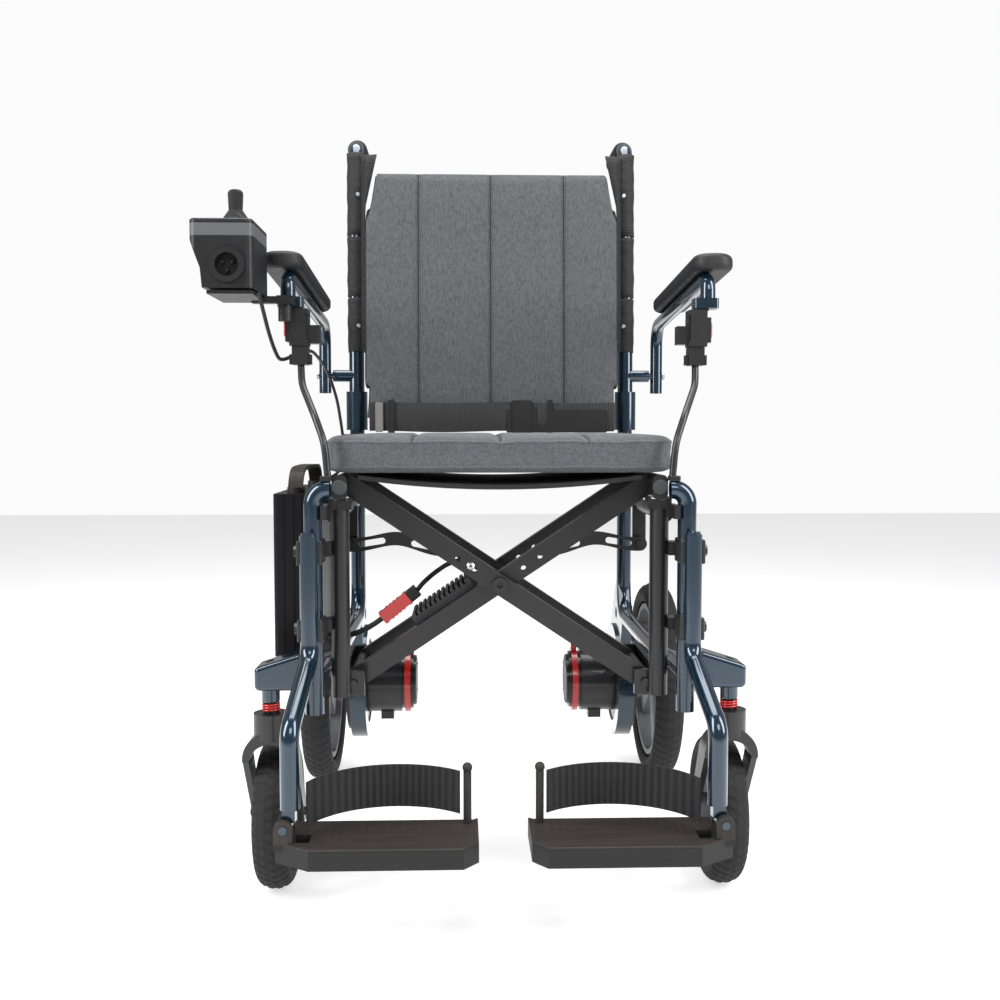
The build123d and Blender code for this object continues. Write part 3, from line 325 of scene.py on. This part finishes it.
def add_tube(bm, points, radius, segments=10):
    """A round tube through a list of points (row frame, metres); radius in millimetres."""
    rings = []
    side = None
    for i, p in enumerate(points):
        ahead = (points[min(i + 1, len(points) - 1)] - points[max(i - 1, 0)]).normalized()
        if side is None:
            side = ahead.orthogonal().normalized()
        side = (side - ahead * side.dot(ahead)).normalized()
        up = ahead.cross(side)
        ring = []
        for k in range(segments):
            a = 2 * math.pi * k / segments
            ring.append(bm.verts.new(p + (side * math.cos(a) + up * math.sin(a)) * radius / 1000))
        rings.append(ring)
    for a, b in zip(rings, rings[1:]):
        for k in range(segments):
            bm.faces.new((a[k], a[(k + 1) % segments], b[(k + 1) % segments], b[k]))
    bm.faces.new(rings[0][::-1])
    bm.faces.new(rings[-1])


def curve_points(points, steps=10):
    """A smooth run of points through the given ones."""
    out = []
    n = len(points)
    for i in range(n - 1):
        a, b, c, d = (points[max(i - 1, 0)], points[i], points[i + 1], points[min(i + 2, n - 1)])
        for s in range(steps):
            t = s / steps
            out.append(0.5 * ((2 * b) + (c - a) * t + (2 * a - 5 * b + 4 * c - d) * t * t
                              + (3 * b - a - 3 * c + d) * t * t * t))
    out.append(points[-1].copy())
    return out


def add_stitches(bm, points, pitch=6.0, length=4.2, thick=1.0):
    """Thread stitches laid end to end along a run of points."""
    carry = 0.0
    for a, b in zip(points, points[1:]):
        run = b - a
        if run.length < 1e-6:
            continue
        along = run.normalized()
        at = carry
        while at < run.length * 1000:
            place = Matrix.Translation(a + along * at / 1000) @ facing(along)
            place = place @ Matrix.Diagonal((thick / 2000, thick / 2000, length / 2000, 1))
            bmesh.ops.create_icosphere(bm, subdivisions=1, radius=1, matrix=place)
            at += pitch
        carry = at - run.length * 1000


# ---------------------------------------------------------------- sewn cushions
def puffed(node, name, material, voxel, shrink, pressure, cap):
    """A stuffed piece: a copy of the plain solid, remeshed and blown up a little as cloth."""
    source = nodes[node]
    obj = bpy.data.objects.new(name, source.data.copy())
    bpy.context.scene.collection.objects.link(obj)
    bpy.context.view_layer.objects.active = obj
    low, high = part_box(node)
    middle = (Vector(low) + Vector(high)) / 2
    for v in obj.data.vertices:
        away = v.co - middle
        v.co = middle + Vector((away.x * shrink[0], away.y * shrink[1], away.z * shrink[2]))
    obj.data.remesh_voxel_size = voxel
    for o in bpy.context.selected_objects:
        o.select_set(False)
    obj.select_set(True)
    bpy.ops.object.voxel_remesh()
    rest = [v.co.copy() for v in obj.data.vertices]
    cloth = obj.modifiers.new("Cloth", "CLOTH")
    cloth.settings.use_pressure = True
    cloth.settings.uniform_pressure_force = pressure
    cloth.settings.effector_weights.gravity = 0
    cloth.settings.tension_stiffness = 25
    cloth.settings.bending_stiffness = 3
    cloth.settings.quality = 4
    scene = bpy.context.scene
    scene.frame_start = 1
    scene.frame_end = 20
    for f in range(1, 21):
        scene.frame_set(f)
    shaped = obj.evaluated_get(bpy.context.evaluated_depsgraph_get())
    moved = [v.co.copy() for v in shaped.data.vertices]
    obj.modifiers.remove(cloth)
    scene.frame_set(1)
    for v, a, b in zip(obj.data.vertices, rest, moved):
        step = b - a
        v.co = a + step * min(1.0, cap / max(step.length, 1e-9))
    obj.data.materials.clear()
    obj.data.materials.append(material)
    for p in obj.data.polygons:
        p.use_smooth = True
    return obj


def smooth_bell(distance, width):
    return math.exp(-(distance / width) ** 2)


SEAT_X, SEAT_FRONT, SEAT_BACK, SEAT_LOW, SEAT_TOP = 208.0, -220.0, 168.0, 497.0, 541.0
seat = puffed("seat_cushion", "seat_pad", SEAT_CLOTH, 0.0045, (1.012, 1.0, 0.84), 4.0, 0.004)
for v in seat.data.vertices:
    x, y, z = (v.co.x - MID) * 1000, v.co.y * 1000, v.co.z * 1000
    edge = min(SEAT_X - abs(x), y - SEAT_FRONT, SEAT_BACK - y)
    if z > 521:
        lift = 3.4 * min(1.0, max(edge, 0) / 60) - 1.0
        for c in CHANNELS:
            lift -= 4.4 * smooth_bell(x - c, 7.0) * min(1.0, max(edge, 0) / 14)
        v.co.z += lift / 1000
    if edge < 12 and 503 < z < 537:
        pull = 2.2 * (1 - abs(z - 519) / 20)
        v.co.x -= math.copysign(pull if SEAT_X - abs(x) < 14 else 0, x) / 1000
        if y - SEAT_FRONT < 14:
            v.co.y += pull * (0.6 + 0.4 * math.sin(x / 19)) / 1000
seat.data.update()
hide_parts("seat_cushion")


def rim_loop(half_x, front, back, corner, z):
    """Points round a rectangle with rounded corners, in the row frame."""
    out = []
    for cx, cy, start in ((half_x - corner, back - corner, 0), (corner - half_x, back - corner, 90),
                          (corner - half_x, front + corner, 180), (half_x - corner, front + corner, 270)):
        for k in range(9):
            a = math.radians(start + k * 11.25)
            out.append(P(cx + corner * math.cos(a), cy + corner * math.sin(a), z))
    out.append(out[0].copy())
    return out


def tree_of(obj):
    return BVHTree.FromPolygons([v.co for v in obj.data.vertices], [p.vertices for p in obj.data.polygons])


def densify(points, step):
    out = []
    for a, b in zip(points, points[1:]):
        n = max(1, int((b - a).length / step))
        out += [a.lerp(b, k / n) for k in range(n)]
    return out + [points[-1].copy()]


seat_tree = tree_of(seat)
piping = bmesh.new()
for z, grow in ((SEAT_TOP - 5.5, -0.6), (SEAT_LOW + 7.0, -0.6)):
    loop = densify(rim_loop(SEAT_X, SEAT_FRONT, SEAT_BACK, 26, z), 0.012)
    fitted = []
    for p in loop:
        near = seat_tree.find_nearest(p)
        fitted.append(near[0] + near[1] * grow / 1000)
    add_tube(piping, fitted, 2.0, 8)
piping_obj = mesh_object("seat_piping", piping, SEAT_CLOTH)
thread = bmesh.new()
for c in CHANNELS:
    for off in (-2.2, 2.2):
        line = []
        for k in range(61):
            y = SEAT_FRONT + 12 + k * (SEAT_BACK - SEAT_FRONT - 24) / 60
            hit = seat_tree.ray_cast(P(c + off, y, 600), Vector((0, 0, -1)))[0]
            if hit:
                line.append(hit + Vector((0, 0, 0.0002)))
        add_stitches(thread, line)
seat_thread = mesh_object("seat_stitches", thread, THREAD)
piping_obj.parent = seat
seat_thread.parent = seat
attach(seat, "seat")
for obj in (seat, piping_obj, seat_thread):
    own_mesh(obj)

back = puffed("back_upholstery", "back_pad", CLOTH, 0.0045, (0.99, 0.86, 0.99), 4.0, 0.004)


def back_plane(z):
    """The back's middle plane: it follows the canes' slope."""
    return 198 + (z - 560) * (225 - 198) / (983 - 560)


for v in back.data.vertices:
    x, y, z = (v.co.x - MID) * 1000, v.co.y * 1000, v.co.z * 1000
    edge = min(194 - abs(x), z - 560, 936 - z)
    lift = 2.6 * min(1.0, max(edge, 0) / 45) - 1.4
    for c in BACK_CHANNELS:
        lift -= 3.6 * smooth_bell(x - c, 6.0) * min(1.0, max(edge, 0) / 10)
    lift += 1.2 * smooth_bell(abs(x) - 57, 40) * math.sin(z / 61 + x / 90)
    v.co.y += (-lift if y < back_plane(z) - 14 else lift * 0.5) / 1000
back.data.update()
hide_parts("back_upholstery")
back_tree = tree_of(back)
thread = bmesh.new()
for c in BACK_CHANNELS:
    for off in (-3.0, 3.0):
        line = []
        for k in range(75):
            z = 568 + k * (930 - 568) / 74
            hit = back_tree.ray_cast(P(c + off, 0, z), Vector((0, 1, 0)))[0]
            if hit:
                line.append(hit - Vector((0, 0.0002, 0)))
        add_stitches(thread, line)
back_thread = mesh_object("back_stitches", thread, THREAD)
binding = bmesh.new()
for g in (1, -1):
    outline = [(186, 562), (187, 610), (192.5, 618), (192.5, 700), (192.5, 860), (186, 884), (175, 931)]
    edge_points = []
    for x, z in outline:
        near = back_tree.find_nearest(P(g * x, back_plane(z) - 24, z))
        edge_points.append(near[0] + near[1] * 0.0004)
    add_tube(binding, curve_points(edge_points, 6), 2.2, 8)
top_line = []
for k in range(21):
    x = -175 + k * 17.5
    near = back_tree.find_nearest(P(x, back_plane(936) - 22, 940))
    top_line.append(near[0] + near[1] * 0.0004)
top_bm = bmesh.new()
add_tube(top_bm, top_line, 1.8, 8)
back_top = mesh_object("back_top_seam", top_bm, CLOTH)
back_binding = mesh_object("back_binding", binding, BINDING)
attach(back, "left_frame")
for obj in (back_thread, back_binding, back_top):
    obj.parent = back
for obj in (back, back_thread, back_binding, back_top):
    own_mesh(obj)


# ---------------------------------------------------------------- straps, belt and sleeves
belt = bmesh.new()
BELT_Y = 148.0
rows = []
for k in range(61):
    x = -183 + k * 6.1
    sag = 5.0 * (x / 184) ** 2
    wave_y = 0.9 * math.sin(x / 17) + 0.6 * math.sin(x / 7.3 + 1)
    fold = 2.2 * math.sin(x / 31 + 0.8)
    rows.append([P(x, BELT_Y + sag + wave_y + lean, z) for z, lean in
                 ((545.5 + fold * 0.5, 1.2), (556, 0.2), (567, -0.4), (578, 0.0), (588.5 + fold * 0.4, 0.9))])
for y_off in (0.0, 2.2):
    grid = [[belt.verts.new(p + Vector((0, y_off / 1000, 0))) for p in row] for row in rows]
    for a, b in zip(grid, grid[1:]):
        for i in range(4):
            quad = (a[i], b[i], b[i + 1], a[i + 1])
            belt.faces.new(quad if y_off == 0 else quad[::-1])
belt_obj = mesh_object("belt_web", belt, BELT)
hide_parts("lap_belt")
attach(belt_obj, "left_frame")
buckle = bmesh.new()
for x, w, h, d in ((44, 30, 50, 6), (86, 8, 52, 4), (-150, 10, 52, 4)):
    add_box(buckle, P(x, BELT_Y + 1.2, 567), (w, d, h))
add_box(buckle, P(62, BELT_Y + 1.0, 567), (10, 4, 30))
add_box(buckle, P(96, BELT_Y + 0.8, 561), (150, 2.2, 34))
bmesh.ops.bevel(buckle, geom=buckle.edges[:], offset=0.0009, segments=2, affect="EDGES")
buckle_obj = mesh_object("belt_buckle", buckle, PLASTIC, smooth=False)
loop_end = bmesh.new()
add_box(loop_end, P(-168, BELT_Y + 1.6, 567), (12, 3.2, 44))
bmesh.ops.bevel(loop_end, geom=loop_end.edges[:], offset=0.0011, segments=2, affect="EDGES")
loop_obj = mesh_object("belt_end", loop_end, PALE_THREAD, smooth=False)
buckle_obj.parent = belt_obj
loop_obj.parent = belt_obj
for obj in (belt_obj, buckle_obj, loop_obj):
    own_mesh(obj)


def soft_copy(node, name, material, slices, axis):
    """A copy of a plain fabric solid, cut into even slices along one axis."""
    bm = bmesh.new()
    bm.from_mesh(nodes[node].data)
    low, high = (Vector(c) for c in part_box(node))
    for k in range(1, slices):
        at = low.lerp(high, k / slices)
        bmesh.ops.bisect_plane(bm, geom=bm.verts[:] + bm.edges[:] + bm.faces[:], plane_co=at, plane_no=axis)
    obj = mesh_object(name, bm, material, smooth=False)
    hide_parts(node)
    return obj


sling = soft_copy("seat_sling", "sling_cloth", BINDING, 24, (1, 0, 0))
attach(sling, "seat")
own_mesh(sling)
for side, g in SIDES:
    strap = soft_copy(side + "_heel_strap", side + "_heel_web", STRAP, 30, (1, 0, 0))
    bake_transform(strap)

# coil springs over the caster stems
for side, g in SIDES:
    low, high = (Vector(c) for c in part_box(side + "_caster_spring"))
    centre = (low + high) / 2
    reach = (high.x - low.x) / 2 - 0.0014
    turns = 3.5
    coil = []
    for k in range(113):
        t = k / 112
        a = 2 * math.pi * turns * t
        coil.append(Vector((centre.x + reach * math.cos(a), centre.y + reach * math.sin(a),
                            low.z + 0.0014 + t * (high.z - low.z - 0.0028))))
    spring = bmesh.new()
    add_tube(spring, coil, 1.35, 10)
    spring_obj = mesh_object(side + "_coil", spring, RED)
    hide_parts(side + "_caster_spring")
    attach(spring_obj, side + "_frame")
    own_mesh(spring_obj)

# the joystick's cable goes on down the rear tube to the battery, held by ties
run = curve_points([P(-227, 176, 556), P(-226, 180, 545), P(-224, 184, 525), P(-225, 183, 500),
                    P(-232, 165, 484), P(-243, 135, 476), P(-250, 100, 470)], 8)
lower_cable = bmesh.new()
add_tube(lower_cable, run, 2.25, 12)
lower_cable_obj = mesh_object("lower_cable", lower_cable, CABLE)
ties = bmesh.new()
for z in (540, 508):
    bmesh.ops.create_cone(ties, cap_ends=False, segments=40, radius1=0.0122, radius2=0.0122, depth=0.0036,
                          matrix=Matrix.Translation(P(-205, 200, z)))
    add_box(ties, P(-219, 190, z), (15, 3, 3.6))
ties_obj = mesh_object("cable_ties", ties, PLASTIC, smooth=False)
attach(lower_cable_obj, "left_frame")
ties_obj.parent = lower_cable_obj


def cane_at(z):
    """The cane's axis at a height, for the right side."""
    t = (z - 560) / (983 - 560)
    return 205 + 2 * t, 198 + 27 * t


for side, g in SIDES:
    sleeve = bmesh.new()
    for z0, z1 in ((666, 747), (750, 840), (843, 968)):
        points = []
        for k in range(15):
            z = z0 + (z1 - z0) * k / 14
            x, y = cane_at(z)
            points.append(P(g * x, y, z))
        add_tube(sleeve, points, 13.2, 28)
    for v in sleeve.verts:
        z = v.co.z * 1000
        x, y = cane_at(z)
        away = Vector((v.co.x - P(g * x, 0, 0).x, v.co.y - y / 1000, 0))
        wrinkle = 0.35 * math.sin(z / 5.0 + 2.2 * away.x * 100) + 0.3 * math.sin(z / 11.0)
        if away.length > 1e-6:
            v.co += away.normalized() * wrinkle / 1000
    sleeve_obj = mesh_object(side + "_back_sleeve", sleeve, BINDING)
    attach(sleeve_obj, side + "_frame")
    web = bmesh.new()
    panel = []
    for k in range(24):
        z = 668 + (964 - 668) * k / 23
        x, y = cane_at(z)
        taper = 0 if z < 884 else (z - 884) * 0.22
        outer, inner = P(g * (x - 9), y - 12.0, z), P(g * (191 - taper), y - 17.5, z)
        panel.append([web.verts.new(outer), web.verts.new(inner)])
    for a, b in zip(panel, panel[1:]):
        web.faces.new((a[0], a[1], b[1], b[0]) if g < 0 else (a[1], a[0], b[0], b[1]))
    web_obj = mesh_object(side + "_sleeve_web", web, BINDING)
    thick = web_obj.modifiers.new("thick", "SOLIDIFY")
    thick.thickness = 0.0016
    thick.offset = 0
    web_obj.parent = sleeve_obj
    screws = bmesh.new()
    for z in (706, 905):
        x, y = cane_at(z)
        add_cylinder(screws, P(g * (x - 4), y - 12.8, z), (0, -1, 0), 3.4, 2.0, 20, 2.4)
        add_cylinder(screws, P(g * (x - 4), y - 14.6, z), (0, -1, 0), 1.1, 0.6, 6)
    screw_obj = mesh_object(side + "_sleeve_screws", screws, ZINC, smooth=False)
    screw_obj.parent = sleeve_obj


# ---------------------------------------------------------------- tyres with a block tread
def tyre(name, node, body, centre, radius, width, inner, blocks):
    """A revolved tyre whose tread is cut into angled blocks, inside the plain tyre's outline."""
    bm = bmesh.new()
    around = blocks * 6
    depth = radius - inner
    profile = []
    for k in range(29):
        a = math.radians(-132 + k * 264 / 28)
        profile.append((math.sin(a) * width / 2, radius - depth / 2 + math.cos(a) * depth / 2, a))
    rings = []
    for i in range(around):
        turn = 2 * math.pi * i / around
        ring = []
        for across, r, a in profile:
            lane = across / (width / 2)
            shift = 0.5 if lane > 0 else 0.0
            phase = (i / 6 + shift + 0.35 * abs(lane)) % 1.0
            groove = 0.0
            if abs(a) < 1.45:
                if phase < 0.3 and abs(lane) > 0.12:
                    groove = 1.9
                if abs(abs(lane) - 0.42) < 0.07:
                    groove = max(groove, 1.5)
                if abs(lane) < 0.06:
                    groove = 1.3
            rr = (r - groove) / 1000
            spot = Vector((across / 1000, rr * math.cos(turn), rr * math.sin(turn)))
            ring.append(bm.verts.new(spot + centre))
        rings.append(ring)
    for i in range(around):
        a, b = rings[i], rings[(i + 1) % around]
        for k in range(len(profile) - 1):
            bm.faces.new((a[k], b[k], b[k + 1], a[k + 1]))
    obj = mesh_object(name, bm, TYRE, smooth=True)
    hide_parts(node)
    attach(obj, body)
    return obj


# wheel centres in millimetres, for the right side
DRIVE_X, DRIVE_Y, DRIVE_Z = 262, 241, 152.5
CASTER_X, CASTER_Y, CASTER_Z = 266, -194, 89
for side, g in SIDES:
    tyre(side + "_drive_tread", side + "_drive_tyre", side + "_drive_wheel",
         P(DRIVE_X * g, DRIVE_Y, DRIVE_Z), radius=152.4, width=43, inner=117, blocks=64)
    tyre(side + "_caster_tread", side + "_caster_tyre", side + "_caster_wheel",
         P(CASTER_X * g, CASTER_Y, CASTER_Z), radius=88.9, width=40, inner=60, blocks=44)


# ---------------------------------------------------------------- fasteners, caps and the battery plug of the frame
class Parts:
    """Collects small shapes that ride on one body and share a material."""

    def __init__(self):
        self.groups = {}

    def __call__(self, body, material):
        return self.groups.setdefault((body, material.name), (bmesh.new(), material))[0]

    def finish(self):
        for (body, kind), (bm, material) in self.groups.items():
            obj = mesh_object(body + "_" + kind + "_trim", bm, material, smooth=False)
            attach(obj, body)


parts = Parts()


def bolt(body, at, axis, radius=5.0, height=3.0, material=None, socket=True):
    """A button-head screw on a surface point."""
    bm = parts(body, material or ZINC)
    away = Vector(axis).normalized()
    add_cylinder(bm, at, away, radius, height * 0.55, 24)
    add_cylinder(bm, at + away * height * 0.00055, away, radius, height * 0.45, 24, radius * 0.62)
    if socket:
        add_cylinder(parts(body, BLACK), at + away * (height * 0.00101), away, radius * 0.36, 0.15, 6)


def hex_nut(body, at, axis, radius=6.0, height=4.5, material=None):
    bm = parts(body, material or BLACK)
    away = Vector(axis).normalized()
    add_cylinder(bm, at, away, radius * 1.25, 0.9, 24)
    add_cylinder(bm, at + away * 0.0009, away, radius, height, 6, radius * 0.97)


for side, g in SIDES:
    frame_body = side + "_frame"
    # screws on the rear tube
    for z in (272, 452):
        bolt(frame_body, P(g * (205 + 11.0), 200, z), (g, 0, 0), 4.6, 2.6)
    # arm hinge
    bolt(frame_body, P(g * (253 + 9.5), 200, 630), (g, 0, 0), 5.2, 2.8)
    # cane clamp screws in the socket
    for z in (562, 592):
        bolt(frame_body, P(g * 205, 200 - 14.6, z), (0, -1, 0), 3.6, 2.0)
    # outrigger nut over the caster stem
    hex_nut(side + "_caster", P(g * (CASTER_X + 22.5), CASTER_Y, CASTER_Z), (g, 0, 0), 7.5, 5.0, ZINC)
    hex_nut(side + "_caster", P(g * (CASTER_X - 22.5), CASTER_Y, CASTER_Z), (-g, 0, 0), 7.5, 4.0, ZINC)
    # drive wheel hub cap
    add_cylinder(parts(side + "_drive_wheel", GREY_CAP), P(g * (DRIVE_X + 19), DRIVE_Y, DRIVE_Z),
                 (g, 0, 0), 19, 2.6, 40, 16)
    for k in range(5):
        a = math.radians(90 + 72 * k)
        spot = P(g * (DRIVE_X + 17.2), DRIVE_Y + 27 * math.cos(a), DRIVE_Z + 27 * math.sin(a))
        bolt(side + "_drive_wheel", spot, (g, 0, 0), 3.0, 1.8)
    # motor end cap and its screws
    add_cylinder(parts(frame_body, GREY_CAP), P(g * 118, DRIVE_Y, DRIVE_Z), (-g, 0, 0), 38, 0.9, 48, 36)
    for k in range(4):
        a = math.radians(45 + 90 * k)
        bolt(frame_body, P(g * 117.4, DRIVE_Y + 30 * math.cos(a), DRIVE_Z + 30 * math.sin(a)), (-g, 0, 0), 2.6, 1.5)
    # oval rail caps
    rail_body = "trailing_brace" if g > 0 else "leading_brace"
    add_cylinder(parts(rail_body, GREY_CAP), P(g * 189, -214, 480), (0, -1, 0), 8.8, 0.8, 32, 8.0)
# screw beside the crossing, and the red battery plug
bolt("leading_brace", P(-35, -182, 383.5), (0, -1, 0), 4.6, 2.4, CHROME)
plug_axis = Vector((42, 1, 34)).normalized()
plug = parts("left_frame", RED_LEVER)
turned = facing(plug_axis)
RIB = (16.6, 17.2, 2.4)
for at, size in ((3, (16.4, 17.0, 5)), (22, (15.6, 15.6, 40)), (12, RIB), (18, RIB), (24, RIB), (30, RIB),
                 (41, (16.8, 17.4, 4))):
    place = Matrix.Translation(P(-147, -105, 308) + plug_axis * at / 1000) @ turned
    bmesh.ops.create_cube(plug, size=1, matrix=place @ Matrix.Diagonal((*(v / 1000 for v in size), 1)))
parts.finish()


# ---------------------------------------------------------------- room, light, camera
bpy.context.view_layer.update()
floor = bmesh.new()
bmesh.ops.create_grid(floor, x_segments=1, y_segments=1, size=6)
floor_paint = new_material("floor", (0.86, 0.86, 0.86), 0.7)
floor_paint.node_tree.nodes["Principled BSDF"].inputs["Emission Color"].default_value = (1, 1, 1, 1)
floor_paint.node_tree.nodes["Principled BSDF"].inputs["Emission Strength"].default_value = 0.55
floor_net = Net(floor_paint)
floor_net.color(floor_net.blend(floor_net.noise(3.0), (0.66, 0.66, 0.66), (0.7, 0.7, 0.7)))
floor_obj = mesh_object("floor", floor, floor_paint, smooth=False)
world = bpy.data.worlds.new("world")
bpy.context.scene.world = world
world.use_nodes = True
sky = world.node_tree.nodes["Background"]
sky.inputs["Color"].default_value = (1, 1, 1, 1)
ray = world.node_tree.nodes.new("ShaderNodeLightPath")
level = world.node_tree.nodes.new("ShaderNodeMapRange")
level.inputs["To Min"].default_value = 0.32
level.inputs["To Max"].default_value = 0.97
world.node_tree.links.new(ray.outputs["Is Camera Ray"], level.inputs[0])
world.node_tree.links.new(level.outputs[0], sky.inputs["Strength"])


def softbox(name, at, target, size, power):
    lamp = bpy.data.lights.new(name, "AREA")
    lamp.shape = "RECTANGLE"
    lamp.size, lamp.size_y = size
    lamp.energy = power
    obj = bpy.data.objects.new(name, lamp)
    obj.location = at
    obj.rotation_euler = (Vector(target) - Vector(at)).to_track_quat("-Z", "Y").to_euler()
    bpy.context.scene.collection.objects.link(obj)


softbox("left_box", (-1.7, -1.0, 1.5), (0, 0, 0.5), (0.7, 1.8), 50)
softbox("right_box", (1.7, -0.9, 1.4), (0, 0, 0.5), (0.7, 1.8), 44)
softbox("top_box", (0, 0.2, 2.6), (0, 0, 0.4), (1.8, 1.6), 58)
softbox("front_box", (0.4, -2.4, 1.9), (0, 0, 0.4), (1.2, 0.8), 20)

shot = bpy.data.cameras.new("camera")
shot.lens = 41
shot.sensor_width = 36
camera = bpy.data.objects.new("camera", shot)
camera.location = (-0.021, -1.55, 0.545)
camera.rotation_euler = (math.radians(90 - 3.42), 0, math.radians(-1.9))
bpy.context.scene.collection.objects.link(camera)
bpy.context.scene.camera = camera
bpy.context.scene.view_settings.view_transform = "Standard"
